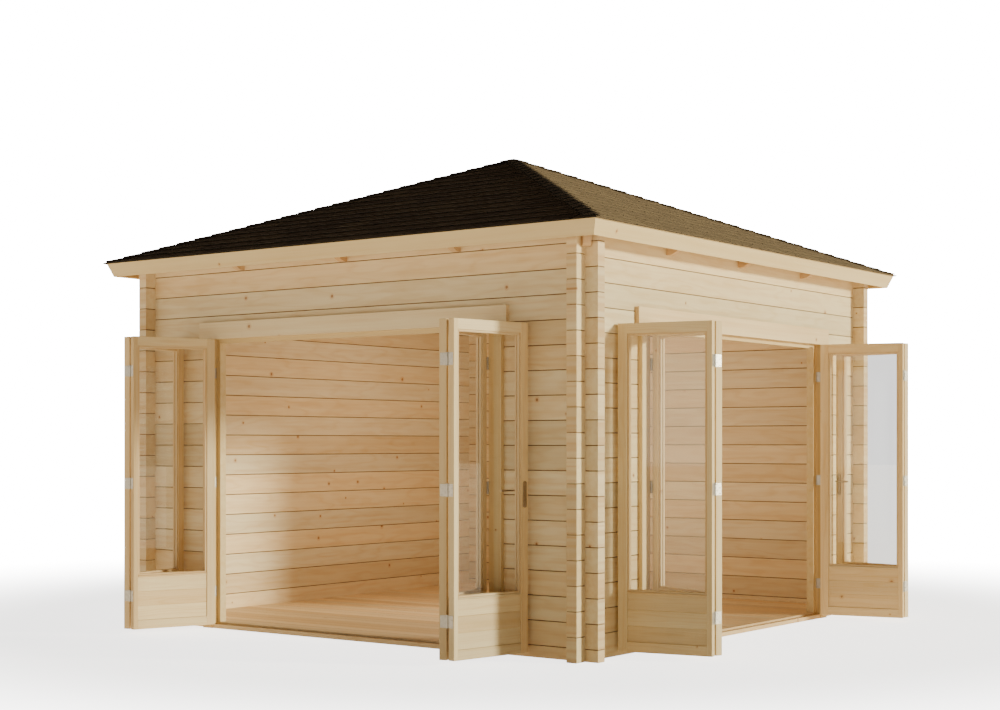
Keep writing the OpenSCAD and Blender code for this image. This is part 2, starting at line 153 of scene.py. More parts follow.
pairs = {  # side, lean and vee of each folded pair, and the wall's turn
    "front_left": {"side": -1, "lean": 18.5, "vee": 28.5, "wall": 0, "node": "front_leaf_left"},
    "front_right": {"side": 1, "lean": 14.0, "vee": 24.0, "wall": 0, "node": "front_leaf_right"},
    "right_near": {"side": -1, "lean": 20.0, "vee": 30.0, "wall": 90, "node": "right_leaf_near"},
    "right_far": {"side": 1, "lean": 12.0, "vee": 22.5, "wall": 90, "node": "right_leaf_far"},
}


def openPose(pair):
    side = Matrix.Identity(4) if pair["side"] > 0 else mirrorX
    return turned(pair["wall"]) @ side @ turnedAbout(jambPin, 90 + pair["lean"])


def foldPose(pair):
    return openPose(pair) @ turnedAbout(foldPin, 180 - pair["vee"])


jambPlace = shifted(leafSize["doorWidth"] / 2 - leafSize["gap"], leafFace, leafSize["lift"]) @ mirrorX
leadPlace = shifted(leafSize["doorWidth"] / 2 - 2 * (leafSize["width"] + leafSize["gap"]),
                    leafFace, leafSize["lift"])


# Shader nodes: inputs are sockets to link or plain values
def setInputs(tree, made, inputs):
    for key, value in inputs.items():
        if isinstance(value, bpy.types.NodeSocket):
            tree.links.new(value, made.inputs[key])
        else:
            made.inputs[key].default_value = value


def addNode(tree, kind, inputs=None, **settings):
    made = tree.nodes.new("ShaderNode" + kind)
    for key, value in settings.items():
        setattr(made, key, value)
    setInputs(tree, made, inputs or {})
    return made


def calc(tree, operation, a, b=0.0, c=0.0, clamp=False):
    return addNode(tree, "Math", {0: a, 1: b, 2: c}, operation=operation, use_clamp=clamp).outputs[0]


def ramp(tree, value, low, high, outLow=0.0, outHigh=1.0, smooth=True):
    kind = "SMOOTHSTEP" if smooth else "LINEAR"
    limits = {"Value": value, "From Min": low, "From Max": high, "To Min": outLow, "To Max": outHigh}
    return addNode(tree, "MapRange", limits, interpolation_type=kind).outputs["Result"]


def blendColor(tree, share, first, second, how="MIX"):
    return addNode(tree, "Mix", {0: share, 6: first, 7: second}, data_type="RGBA", blend_type=how).outputs[2]


def noise(tree, place, scale, detail=2.0, rough=0.5):
    return addNode(tree, "TexNoise", {"Vector": place, "Scale": scale, "Detail": detail, "Roughness": rough})


def scaledBy(tree, place, x, y, z):
    return addNode(tree, "VectorMath", {0: place, 1: (x, y, z)}, operation="MULTIPLY").outputs[0]


def newGroup(name, inputs, outputs):
    group = bpy.data.node_groups.new(name, "ShaderNodeTree")
    for title, kind, value in inputs:
        socket = group.interface.new_socket(title, in_out="INPUT", socket_type="NodeSocket" + kind)
        if value is not None:
            socket.default_value = value
    for title, kind in outputs:
        group.interface.new_socket(title, in_out="OUTPUT", socket_type="NodeSocket" + kind)
    return group, group.nodes.new("NodeGroupInput"), group.nodes.new("NodeGroupOutput")


# Scales of the noises run along the grain, across the face and through the board
grainLook = {
    "apart": (31.0, 17.0, 23.0), "swayScale": (0.9, 5.0, 5.0), "streakScale": (0.7, 26.0, 26.0),
    "fibreScale": (9.0, 700.0, 700.0), "cloudScale": (1.4, 4.0, 4.0), "wobbleScale": 60.0,
    "knotCells": 2.6, "knotSize": (0.0035, 0.0105), "knotWobble": 0.006, "knotEdge": (0.75, 1.25),
    "rimEdge": (0.8, 3.2), "pithAside": 0.09, "pithDeep": (0.03, 0.12), "swayAside": 0.045, "swayDeep": 0.035,
    "pushed": 0.006, "ringWidth": 0.0042, "fullTurn": 6.2832, "lateNarrow": 2.2, "lateShade": 0.26,
    "streakShade": 0.42, "fibreShade": 0.10, "cloudShade": 0.22, "rosy": (1.0, 0.925, 0.83, 1),
    "bright": (0.85, 1.08), "rimColor": (0.50, 0.235, 0.085, 1), "rimShare": 0.42,
    "knotColor": (0.235, 0.092, 0.036, 1), "knotShare": 0.72, "endColor": (0.56, 0.34, 0.16, 1),
    "endShare": (0.30, 0.16), "rough": 0.52, "roughStreak": 0.16, "roughKnot": -0.15,
    "lateHeight": -0.00010, "fibreHeight": 0.00012, "knotHeight": 0.00025,
}


# Sawn softwood. Place runs along the grain in X, across the face in Y and through the board in Z
def makeSoftwood():
    look = grainLook
    g, given, out = newGroup("softwood", [
        ("Place", "Vector", None), ("Board", "Float", 0.0), ("End", "Float", 0.0),
        ("Pale", "Color", (0.8, 0.6, 0.4, 1)), ("Deep", "Color", (0.6, 0.4, 0.2, 1)),
        ("Knots", "Float", 0.4), ("Contrast", "Float", 1.0)],
        [("Color", "Color"), ("Roughness", "Float"), ("Height", "Float")])
    place, board = given.outputs["Place"], given.outputs["Board"]
    dice = addNode(g, "TexWhiteNoise", {"W": board}, noise_dimensions="1D")
    dies = addNode(g, "SeparateColor", {"Color": dice.outputs["Color"]})
    own = scaledBy(g, dice.outputs["Color"], *look["apart"])
    away = addNode(g, "VectorMath", {0: place, 1: own}, operation="ADD").outputs[0]
    axes = addNode(g, "SeparateXYZ", {"Vector": place})
    # branches: one feature point for each patch of face
    flat = scaledBy(g, place, look["knotCells"], look["knotCells"], 0.0)
    flat = addNode(g, "VectorMath", {0: flat, 1: own}, operation="ADD").outputs[0]
    cell = addNode(g, "TexVoronoi", {"Vector": flat, "Scale": 1.0}, voronoi_dimensions="2D")
    cellDice = addNode(g, "SeparateColor", {"Color": cell.outputs["Color"]})
    there = calc(g, "LESS_THAN", cellDice.outputs["Red"], given.outputs["Knots"])
    wobble = noise(g, away, look["wobbleScale"]).outputs["Fac"]
    reach = calc(g, "DIVIDE", cell.outputs["Distance"], look["knotCells"])
    reach = calc(g, "MULTIPLY_ADD", calc(g, "SUBTRACT", wobble, 0.5), look["knotWobble"], reach)
    size = ramp(g, cellDice.outputs["Green"], 0.0, 1.0, *look["knotSize"], smooth=False)
    near = calc(g, "DIVIDE", reach, size)
    knot = calc(g, "MULTIPLY", ramp(g, near, *look["knotEdge"], 1.0, 0.0), there)
    rim = calc(g, "MULTIPLY", ramp(g, near, *look["rimEdge"], 1.0, 0.0), there)
    # growth rings round a pith outside the face, pushed aside by the branches
    sway = noise(g, scaledBy(g, away, *look["swayScale"]), 1.0, 3.0, 0.55)
    swayDice = addNode(g, "SeparateColor", {"Color": sway.outputs["Color"]})
    aside = calc(g, "SUBTRACT", dies.outputs["Red"], 0.5)
    ringY = calc(g, "MULTIPLY_ADD", aside, look["pithAside"], axes.outputs["Y"])
    aside = calc(g, "SUBTRACT", swayDice.outputs["Red"], 0.5)
    ringY = calc(g, "MULTIPLY_ADD", aside, look["swayAside"], ringY)
    deep = ramp(g, dies.outputs["Green"], 0.0, 1.0, *look["pithDeep"], smooth=False)
    ringZ = calc(g, "ADD", axes.outputs["Z"], deep)
    deep = calc(g, "SUBTRACT", swayDice.outputs["Green"], 0.5)
    ringZ = calc(g, "MULTIPLY_ADD", deep, look["swayDeep"], ringZ)
    radius = calc(g, "MULTIPLY_ADD", ringY, ringY, calc(g, "MULTIPLY", ringZ, ringZ))
    radius = calc(g, "SQRT", radius)
    radius = calc(g, "MULTIPLY_ADD", rim, look["pushed"], radius)
    count = calc(g, "DIVIDE", radius, look["ringWidth"])
    wave = calc(g, "MULTIPLY_ADD", calc(g, "SINE", calc(g, "MULTIPLY", count, look["fullTurn"])), 0.5, 0.5)
    late = calc(g, "POWER", wave, look["lateNarrow"])
    streak = noise(g, scaledBy(g, away, *look["streakScale"]), 1.0, 3.0, 0.6).outputs["Fac"]
    fibre = noise(g, scaledBy(g, away, *look["fibreScale"]), 1.0, 2.0, 0.6).outputs["Fac"]
    cloud = noise(g, scaledBy(g, away, *look["cloudScale"]), 1.0, 2.0, 0.5).outputs["Fac"]
    shade = calc(g, "MULTIPLY", late, look["lateShade"])
    shade = calc(g, "MULTIPLY_ADD", ramp(g, streak, 0.35, 0.75), look["streakShade"], shade)
    shade = calc(g, "MULTIPLY_ADD", ramp(g, fibre, 0.3, 0.8), look["fibreShade"], shade)
    shade = calc(g, "MULTIPLY_ADD", ramp(g, cloud, 0.3, 0.8), look["cloudShade"], shade)
    shade = calc(g, "MULTIPLY", shade, given.outputs["Contrast"], clamp=True)
    color = blendColor(g, shade, given.outputs["Pale"], given.outputs["Deep"])
    rosy = blendColor(g, ramp(g, dies.outputs["Blue"], 0.2, 0.85), (1.0, 1.0, 1.0, 1), look["rosy"])
    color = blendColor(g, 1.0, color, rosy, "MULTIPLY")
    bright = ramp(g, dies.outputs["Green"], 0.0, 1.0, *look["bright"], smooth=False)
    color = addNode(g, "HueSaturation", {"Color": color, "Value": bright}).outputs[0]
    color = blendColor(g, calc(g, "MULTIPLY", rim, look["rimShare"]), color, look["rimColor"])
    color = blendColor(g, calc(g, "MULTIPLY", knot, look["knotShare"]), color, look["knotColor"])
    ended = calc(g, "MULTIPLY_ADD", late, *look["endShare"])
    color = blendColor(g, calc(g, "MULTIPLY", ended, given.outputs["End"]), color, look["endColor"])
    rough = calc(g, "MULTIPLY_ADD", streak, look["roughStreak"], look["rough"])
    rough = calc(g, "MULTIPLY_ADD", knot, look["roughKnot"], rough)
    height = calc(g, "MULTIPLY", late, look["lateHeight"])
    height = calc(g, "MULTIPLY_ADD", fibre, look["fibreHeight"], height)
    height = calc(g, "MULTIPLY_ADD", knot, look["knotHeight"], height)
    setInputs(g, out, {"Color": color, "Roughness": rough, "Height": height})
    return g


softwood = makeSoftwood()
woodLook = {
    "walls": {"pale": (0.81, 0.698, 0.478, 1), "deep": (0.64, 0.460, 0.245, 1), "knots": 0.55, "contrast": 0.95,
              "seamShade": 0.92, "seamWidth": 0.0040},
    # a lit copy of the wall wood for the sunlit right wall: yellower, with fainter painted shade in its seams
    "sunny": {"pale": (0.81, 0.700, 0.460, 1), "deep": (0.65, 0.470, 0.240, 1), "knots": 0.50, "contrast": 0.90,
              "seamShade": 0.80, "seamWidth": 0.0036},
    "trim": {"pale": (0.71, 0.575, 0.325, 1), "deep": (0.58, 0.405, 0.178, 1), "knots": 0.22, "contrast": 0.9},
    "doors": {"pale": (0.80, 0.668, 0.425, 1), "deep": (0.64, 0.455, 0.225, 1), "knots": 0.35, "contrast": 1.0},
    "floor": {"pale": (0.78, 0.62, 0.39, 1), "deep": (0.62, 0.43, 0.22, 1), "knots": 0.30, "contrast": 0.85,
              "seamShade": 0.6, "seamWidth": 0.0026},
    "roof": {"pale": (0.76, 0.60, 0.40, 1), "deep": (0.62, 0.43, 0.235, 1), "knots": 0.4, "contrast": 0.9,
             "seamShade": 0.7, "seamWidth": 0.0030},
    # painted shade: a darker, deeper orange copy of the roof wood for the rafters and hips, whose tails sit in
    # the eave's shade
    "rafters": {"pale": (0.66, 0.46, 0.26, 1), "deep": (0.50, 0.31, 0.145, 1), "knots": 0.4, "contrast": 0.9},
}


def startMaterial(name):
    made = bpy.data.materials.new(name)
    made.use_nodes = True
    tree = made.node_tree
    tree.nodes.clear()
    shader = addNode(tree, "BsdfPrincipled")
    addNode(tree, "OutputMaterial", {"Surface": shader.outputs[0]})
    return made, tree, shader


def dressInWood(tree, shader, look, place, board, end=0.0, seamShade=None):
    wood = tree.nodes.new("ShaderNodeGroup")
    wood.node_tree = softwood
    setInputs(tree, wood, {"Place": place, "Board": board, "End": end, "Pale": look["pale"],
                           "Deep": look["deep"], "Knots": look["knots"], "Contrast": look["contrast"]})
    bump = addNode(tree, "Bump", {"Height": wood.outputs["Height"], "Strength": 0.7, "Distance": 1.0})
    color = wood.outputs["Color"]
    # seams between boards: a dark gap, deepened as painted shade in the groove
    if seamShade:
        color = blendColor(tree, calc(tree, "MULTIPLY", seamShade, look["seamShade"]), color, (0.10, 0.036, 0.012, 1))
    setInputs(tree, shader, {"Base Color": color, "Roughness": wood.outputs["Roughness"],
                             "Normal": bump.outputs["Normal"], "Specular IOR Level": 0.32})


wayLook = {"diagonal": 0.7071, "frontNumber": 11.0, "sideNumber": 5.0}


# Measures: X, Y, Z, along an eave, out from the middle, up or off a slope, along or across a hip
def houseDirections(tree):
    spot = addNode(tree, "TexCoord")
    at = addNode(tree, "SeparateXYZ", {"Vector": spot.outputs["Object"]})
    facing = addNode(tree, "SeparateXYZ", {"Vector": spot.outputs["Normal"]})
    x, y = at.outputs["X"], at.outputs["Y"]
    front = calc(tree, "GREATER_THAN", calc(tree, "ABSOLUTE", y), calc(tree, "ABSOLUTE", x))
    signX, signY = calc(tree, "SIGN", x), calc(tree, "SIGN", y)

    def choose(onFront, onSide):
        return calc(tree, "MULTIPLY_ADD", calc(tree, "SUBTRACT", onFront, onSide), front, onSide)

    def measure(kind, vector):
        vx, vy, vz = vector.outputs["X"], vector.outputs["Y"], vector.outputs["Z"]
        if kind in ("X", "Y", "Z"):
            return vector.outputs[kind]
        if kind == "eave":
            return choose(vx, vy)
        outX, outY = calc(tree, "MULTIPLY", vx, signX), calc(tree, "MULTIPLY", vy, signY)
        if kind == "hip":
            return calc(tree, "MULTIPLY", calc(tree, "ADD", outX, outY), wayLook["diagonal"])
        if kind == "offHip":
            return calc(tree, "MULTIPLY", calc(tree, "SUBTRACT", outX, outY), wayLook["diagonal"])
        outward = choose(outY, outX)
        if kind == "out":
            return outward
        along, lift = (-math.cos(tilt), math.sin(tilt)) if kind == "slope" else (math.sin(tilt), math.cos(tilt))
        return calc(tree, "MULTIPLY_ADD", vz, lift, calc(tree, "MULTIPLY", outward, along))

    wall = calc(tree, "MULTIPLY", choose(signY, signX), wayLook["sideNumber"])  # one number for each side
    wall = calc(tree, "MULTIPLY_ADD", front, wayLook["frontNumber"], wall)
    return (lambda kind: measure(kind, at)), (lambda kind: measure(kind, facing)), wall


boardLook = {"nextTo": 1.37, "nextApart": 2.31, "seamFrom": 0.0012, "endFrom": (0.6, 0.85), "postStep": 3.3}


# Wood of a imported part: grain along the first direction, boards side by side across the second
def partWood(name, look, along, across, through, width=None, shift=0.0, seed=0.0, fourSided=False, apart=None):
    made, tree, shader = startMaterial(name)
    at, facing, wall = houseDirections(tree)
    board, over, seamShade = seed, at(across), None
    if width:
        moved = calc(tree, "ADD", over, shift)
        count = calc(tree, "FLOOR", calc(tree, "DIVIDE", moved, width))
        over = calc(tree, "SUBTRACT", moved, calc(tree, "MULTIPLY", calc(tree, "ADD", count, 0.5), width))
        board = calc(tree, "MULTIPLY_ADD", count, boardLook["nextTo"], seed)
        fromJoint = calc(tree, "SUBTRACT", width / 2, calc(tree, "ABSOLUTE", over))
        seamShade = ramp(tree, fromJoint, boardLook["seamFrom"], look["seamWidth"], 1.0, 0.0)
    if apart:  # pieces that stand apart along another direction
        kind, pitchOf = apart
        count = calc(tree, "FLOOR", calc(tree, "ADD", calc(tree, "DIVIDE", at(kind), pitchOf), 0.5))
        board = calc(tree, "MULTIPLY_ADD", count, boardLook["nextApart"], board)
    if fourSided:
        board = calc(tree, "ADD", board, wall)
    place = addNode(tree, "CombineXYZ", {"X": at(along), "Y": over, "Z": at(through)}).outputs[0]
    end = ramp(tree, calc(tree, "ABSOLUTE", facing(along)), *boardLook["endFrom"])
    dressInWood(tree, shader, look, place, board, end, seamShade)
    return made


# Upright posts with a level head between them
def portalWood(name, look, halfWidth, seed):
    made, tree, shader = startMaterial(name)
    at, facing, wall = houseDirections(tree)
    post = calc(tree, "GREATER_THAN", calc(tree, "ABSOLUTE", at("eave")), halfWidth)
    level = addNode(tree, "CombineXYZ", {"X": at("eave"), "Y": at("Z"), "Z": at("out")}).outputs[0]
    upright = addNode(tree, "CombineXYZ", {"X": at("Z"), "Y": at("eave"), "Z": at("out")}).outputs[0]
    place = addNode(tree, "Mix", {0: post, 4: level, 5: upright}, data_type="VECTOR").outputs[1]
    side = calc(tree, "MULTIPLY", post, calc(tree, "SIGN", at("eave")))
    board = calc(tree, "ADD", calc(tree, "MULTIPLY_ADD", side, boardLook["postStep"], seed), wall)
    dressInWood(tree, shader, look, place, board)
    return made


# Wood of a made piece, which carries the place in its board and the board's number
def pieceWood(name, look):
    made, tree, shader = startMaterial(name)
    place = addNode(tree, "Attribute", attribute_name="grainPlace").outputs["Vector"]
    board = addNode(tree, "Attribute", attribute_name="boardNumber").outputs["Fac"]
    tint = addNode(tree, "Attribute", attribute_name="shadeTint").outputs["Fac"]
    dressInWood(tree, shader, look, place, board, tint)
    return made


paneLook = {"tint": (0.90, 0.93, 0.92, 1), "smear": 0.03, "straightOn": 0.03, "edgeOn": 0.75}


# Only the reflection is drawn; the rest of each ray passes straight through
def makeGlass():
    look = paneLook
    made, tree, shader = startMaterial("paneGlass")
    streaks = noise(tree, addNode(tree, "TexCoord").outputs["Object"], 3.0, 3.0).outputs["Fac"]
    edge = addNode(tree, "LayerWeight", {"Blend": 0.5}).outputs["Facing"]  # the same from both sides of a pane
    shown = calc(tree, "POWER", edge, 5.0)
    shown = calc(tree, "MULTIPLY_ADD", shown, look["edgeOn"], look["straightOn"], clamp=True)
    setInputs(tree, shader, {"Base Color": look["tint"], "Metallic": 1.0, "Alpha": shown,
                             "Roughness": ramp(tree, streaks, 0.3, 0.8, 0.0, look["smear"])})
    made.surface_render_method = "BLENDED"
    return made


# Metal with fine brush lines and dull clouds
def makeMetal(name, color, roughness, spread):
    made, tree, shader = startMaterial(name)
    spot = addNode(tree, "TexCoord").outputs["Object"]
    brushed = noise(tree, scaledBy(tree, spot, 900.0, 900.0, 40.0), 1.0, 2.0).outputs["Fac"]
    dull = noise(tree, spot, 90.0, 3.0).outputs["Fac"]
    darker = tuple(c * 0.86 for c in color[:3]) + (1,)
    tone = blendColor(tree, ramp(tree, dull, 0.35, 0.75), color, darker)
    bump = addNode(tree, "Bump", {"Height": brushed, "Strength": 0.15, "Distance": 0.0002})
    setInputs(tree, shader, {"Base Color": tone, "Metallic": 1.0, "Normal": bump.outputs["Normal"],
                             "Roughness": calc(tree, "MULTIPLY_ADD", brushed, spread, roughness)})
    return made


feltLook = {"dark": (0.11, 0.077, 0.060, 1), "light": (0.335, 0.242, 0.139, 1), "gritScale": 620.0,
            "gritShare": 0.6, "pale": (1.45, 1.45, 1.45, 1), "pit": (0.05, 0.036, 0.024, 1),
            "patchScale": 14.0, "patchShare": 0.16, "patch": (0.17, 0.125, 0.080, 1),
            "buttShadeFrom": (0.72, 0.95), "buttShadeShare": 0.62, "buttShade": (0.022, 0.016, 0.011, 1),
            "cutShadeDark": (0.008, 0.006, 0.005, 1), "cutShadeLight": (0.105, 0.078, 0.048, 1)}


# Mineral grit on top, painted shade under the next course, bare bitumen on the cut edges darkened further as
# painted shade
def makeShingle():
    look = feltLook
    made, tree, shader = startMaterial("gritShingle")
    at, facing, wall = houseDirections(tree)
    spot = addNode(tree, "TexCoord").outputs["Object"]
    tone = addNode(tree, "Attribute", attribute_name="tabToneAndSun").outputs["Fac"]
    rise = addNode(tree, "Attribute", attribute_name="tabRise").outputs["Fac"]
    grit = noise(tree, spot, look["gritScale"], 2.0, 0.7).outputs["Fac"]
    patch = noise(tree, spot, look["patchScale"], 4.0, 0.6).outputs["Fac"]
    # tabs run from dark to light by their tone and painted sunlight
    color = blendColor(tree, tone, look["dark"], look["light"])
    color = blendColor(tree, ramp(tree, patch, 0.35, 0.75, 0.0, look["patchShare"]), color, look["patch"])
    pale = blendColor(tree, 1.0, color, look["pale"], "MULTIPLY")
    color = blendColor(tree, ramp(tree, grit, 0.45, 0.72, 0.0, look["gritShare"]), color, pale)
    color = blendColor(tree, ramp(tree, grit, 0.28, 0.42, look["gritShare"], 0.0), color, look["pit"])
    # painted shade: each tab darker towards its top, under the butt of the next course
    color = blendColor(tree, ramp(tree, rise, *look["buttShadeFrom"], 0.0, look["buttShadeShare"]), color, look["buttShade"])
    # cut edges and butts: bare bitumen, darkened further as painted shade, lighter on the slopes with painted
    # sunlight
    edge = ramp(tree, calc(tree, "ABSOLUTE", facing("lift")), 0.5, 0.9, 1.0, 0.0)
    cut = blendColor(tree, ramp(tree, tone, 0.3, 0.7, 0.0, 1.0), look["cutShadeDark"], look["cutShadeLight"])
    color = blendColor(tree, edge, color, cut)
    bump = addNode(tree, "Bump", {"Height": grit, "Strength": 0.5, "Distance": 0.0008})
    setInputs(tree, shader, {"Base Color": color, "Roughness": calc(tree, "MULTIPLY_ADD", grit, 0.12, 0.82),
                             "Normal": bump.outputs["Normal"], "Specular IOR Level": 0.15})
    return made


finishes = {
    "frames": portalWood("doorFrames", woodLook["trim"], house["doorHalf"], 200.0),
    "leaves": pieceWood("leafWood", woodLook["doors"]),
    "glass": makeGlass(),
    "steel": makeMetal("zincSteel", (0.50, 0.48, 0.445, 1), 0.34, 0.10),
    "dark": makeMetal("darkMetal", (0.38, 0.30, 0.21, 1), 0.30, 0.2),
    "shingle": makeShingle(),
}
logs = {"width": house["logHeight"]}
halfCourse = {"width": house["logHeight"], "shift": house["logHeight"] / 2}
floorHalf = house["inner"] - house["floorGap"]
partLook = {  # wood, grain directions, first board number, how the boards follow one another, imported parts
    "logsFront": ("walls", ("X", "Z", "out"), 3.0, halfCourse,
                  ["front_wall_left", "front_wall_right", "front_wall_top"]),
    "logsBack": ("walls", ("X", "Z", "out"), 53.0, halfCourse, ["back_wall"]),
    "logsRight": ("sunny", ("Y", "Z", "out"), 101.0, logs,
                  ["right_wall_near", "right_wall_far", "right_wall_top"]),
    "logsLeft": ("walls", ("Y", "Z", "out"), 151.0, logs, ["left_wall"]),
    "sideCasings": ("trim", ("Z", "eave", "out"), 220.0, {"fourSided": True, "apart": ("eave", 2.4)},
                    ["front_side_casings", "right_side_casings"]),
    "headCasings": ("walls", ("eave", "Z", "out"), 240.0, {"fourSided": True},
                    ["front_head_casing", "right_head_casing"]),
    "thresholds": ("floor", ("eave", "out", "Z"), 260.0, {"fourSided": True},
                   ["front_threshold", "right_threshold"]),
    "floorBoards": ("floor", ("X", "Y", "Z"), 280.0, {"width": house["floorBoard"], "shift": floorHalf},
                    ["floor_boards"]),
    "joists": ("floor", ("Y", "X", "Z"), 330.0, {"apart": ("X", house["joistPitch"])}, ["floor_joists"]),
    "eaveBlocks": ("roof", ("eave", "Z", "out"), 340.0, {"fourSided": True}, ["eave_blocks"]),
    "rafters": ("rafters", ("slope", "lift", "eave"), 360.0,
                {"fourSided": True, "apart": ("eave", house["rafterPitch"])}, ["common_rafters"]),
    "hipRafters": ("rafters", ("hip", "Z", "offHip"), 380.0, {}, ["hip_rafters"]),
    "hub": ("roof", ("Z", "X", "Y"), 390.0, {}, ["roof_hub"]),
    "roofBoards": ("roof", ("eave", "slope", "lift"), 400.0, {"width": house["roofBoard"], "fourSided": True},
                   ["front_roof_boards", "right_roof_boards", "back_roof_boards", "left_roof_boards"]),
    "fascia": ("trim", ("eave", "lift", "slope"), 500.0, {"fourSided": True}, ["fascia_boards"]),
}


def dressPart(name, finish):
    slots = nodes[name].data.materials
    if not len(slots):
        slots.append(finish)
    for index in range(len(slots)):
        slots[index] = finish


for name, (look, ways, seed, rest, parts) in partLook.items():
    wood = partWood(name, woodLook[look], *ways, seed=seed, **rest)
    for part in parts:
        dressPart(part, wood)
for wall in ("front", "right"):
    dressPart(wall + "_door_frame", finishes["frames"])
    dressPart(wall + "_door_glass", finishes["glass"])
    dressPart(wall + "_door_hinges", finishes["steel"])
print("finishes set:", len(finishes) + len(partLook))


def easeEdges(piece, ease, rounds):
    editAll(piece)
    bpy.ops.mesh.bevel(offset=ease, segments=rounds, affect="EDGES")
    leaveEdit()


def block(low, high, ease=0.0, rounds=2):
    low, high = Vector(low), Vector(high)
    deselectAll()
    bpy.ops.mesh.primitive_cube_add(size=1, location=(low + high) / 2, scale=high - low)
    made = bpy.context.object
    applyPlace()
    if ease:
        easeEdges(made, ease, rounds)
    return made


grainOrders = {"X": (0, 2, 1), "Z": (2, 0, 1)}  # along, across, through


# Place, number and painted-shade tint of one board
def markGrain(piece, along, number, end=0.0):
    order = grainOrders[along]
    corners = [v.co.copy() for v in piece.data.vertices]
    middle = [sum(c[i] for c in corners) / len(corners) for i in range(3)]
    kinds = {"grainPlace": "FLOAT_VECTOR", "boardNumber": "FLOAT", "shadeTint": "FLOAT"}
    for key, kind in kinds.items():
        piece.data.attributes.new(key, kind, "POINT")
    placed, numbered, tinted = (piece.data.attributes[key].data for key in kinds)
    for index, c in enumerate(corners):
        placed[index].vector = [c[i] - middle[i] for i in order]
        numbered[index].value = number
        tinted[index].value = end
    return piece


def sliceOff(piece, co, no):
    editAll(piece)
    bpy.ops.mesh.bisect(plane_co=co, plane_no=no, clear_outer=True, use_fill=True)
    leaveEdit()


leafLook = {"stileEase": 0.0016, "railEase": 0.0012, "railIn": 0.0004, "stripEase": 0.0028, "boards": 3,
            "boardEase": 0.0022, "beadEase": 0.0022, "beadShade": 1.2, "firstNumber": 600, "nextLeaf": 20}


# Mitred frame of glazing beads in one face of a leaf
def beadFrame(low, high, width, number):
    x0, y0, z0 = low
    x1, y1, z1 = high
    shapes = (  # corners of each bar, its grain, and its two mitre cuts
        ((x0, y0, z0), (x1, y1, z0 + width), "X", [((x0, 0, z0), (-1, 0, 1)), ((x1, 0, z0), (1, 0, 1))]),
        ((x0, y0, z1 - width), (x1, y1, z1), "X", [((x0, 0, z1), (-1, 0, -1)), ((x1, 0, z1), (1, 0, -1))]),
        ((x0, y0, z0), (x0 + width, y1, z1), "Z", [((x0, 0, z0), (1, 0, -1)), ((x0, 0, z1), (1, 0, 1))]),
        ((x1 - width, y0, z0), (x1, y1, z1), "Z", [((x1, 0, z0), (-1, 0, -1)), ((x1, 0, z1), (-1, 0, 1))]))
    bars = []
    for count, (a, b, along, cuts) in enumerate(shapes):
        bar = block(a, b)
        for co, no in cuts:
            sliceOff(bar, co, no)
        easeEdges(bar, leafLook["beadEase"], 1)
        # beads tinted darker orange as painted shade along the rebate round the glass
        bars.append(markGrain(bar, along, number + count, leafLook["beadShade"]))
    return bars


# A glazed leaf, outer face at y = 0, wide stile at x = 0: stiles, rails, panel boards, sill strip, beads
def makeLeaf():
    s, look = leafSize, leafLook
    w, h, t = s["width"], s["height"], s["thick"]
    left, right = s["stile"], w - s["jointStile"]
    sill, railTop = s["bottomRail"] + s["panel"], h - s["topRail"]
    back = t - look["railIn"]
    parts = [
        markGrain(block((0, 0, 0), (left, t, h), look["stileEase"]), "Z", 1.0),
        markGrain(block((right, 0, 0), (w, t, h), look["stileEase"]), "Z", 2.0),
        markGrain(block((left, look["railIn"], railTop), (right, back, h), look["railEase"]), "X", 3.0),
        markGrain(block((left, look["railIn"], 0), (right, back, s["bottomRail"]), look["railEase"]), "X", 4.0),
        markGrain(block((left, 0.0, sill - s["bead"]), (right, t, sill), look["stripEase"], 3), "X", 5.0),
    ]
    high = (s["panel"] - s["bead"]) / look["boards"]
    low = s["panelRecess"]
    for n in range(look["boards"]):
        z = s["bottomRail"] + n * high
        board = block((left, low, z), (right, t - low, z + high), look["boardEase"], 1)
        parts.append(markGrain(board, "X", 6.0 + n))
    middle, half = t / 2, s["glass"] / 2
    parts += beadFrame((left, s["beadRecess"], sill), (right, middle - half, railTop), s["beadWide"], 10.0)
    parts += beadFrame((left, middle + half, sill), (right, t - s["beadRecess"], railTop), s["beadWide"], 14.0)
    return joinPieces(parts, "leafPattern")


leafPattern = makeLeaf()
for count, (key, pair) in enumerate(pairs.items()):
    for kind, pose, place in (("jamb", openPose(pair), jambPlace), ("lead", foldPose(pair), leadPlace)):
        leaf = copyPiece(leafPattern, pair["node"] + "_" + kind + "_joinery")
        for item in leaf.data.attributes["boardNumber"].data:
            item.value += leafLook["firstNumber"] + leafLook["nextLeaf"] * (2 * count + (kind == "lead"))
        putAt(leaf, pose @ place)
        finishPiece(leaf, finishes["leaves"], "door_wood", pair["node"] + "_" + kind)
bpy.data.objects.remove(leafPattern)
print("door leaves made: 8")

slopeLength = roof["eaveHalf"] / math.cos(tilt)
shingleLook = {"tab": 0.25, "slot": 0.006, "under": 0.0035, "lap": 0.010, "bend": 0.42, "ease": 0.0009,
               "tuck": 0.0005, "thinner": 0.0004, "jitter": 0.0015, "aside": 0.001, "shift": 0.08,
               "thickness": (0.92, 1.0, 1.0, 1.06), "bedGap": 0.0009, "bedBack": 0.003, "bedPast": 0.05,
               "toneSpread": 0.25, "seed": 11}
slopeLook = {  # turn, strength of the painted shade lines and the painted sunlight of each slope
    "front": {"turn": 0, "buttShade": 1.0, "paintedSun": 0.0},
    "right": {"turn": 90, "buttShade": 0.78, "paintedSun": 0.75},
    "back": {"turn": 180, "buttShade": 0.9, "paintedSun": 0.6},
    "left": {"turn": 270, "buttShade": 1.0, "paintedSun": 0.1},
}


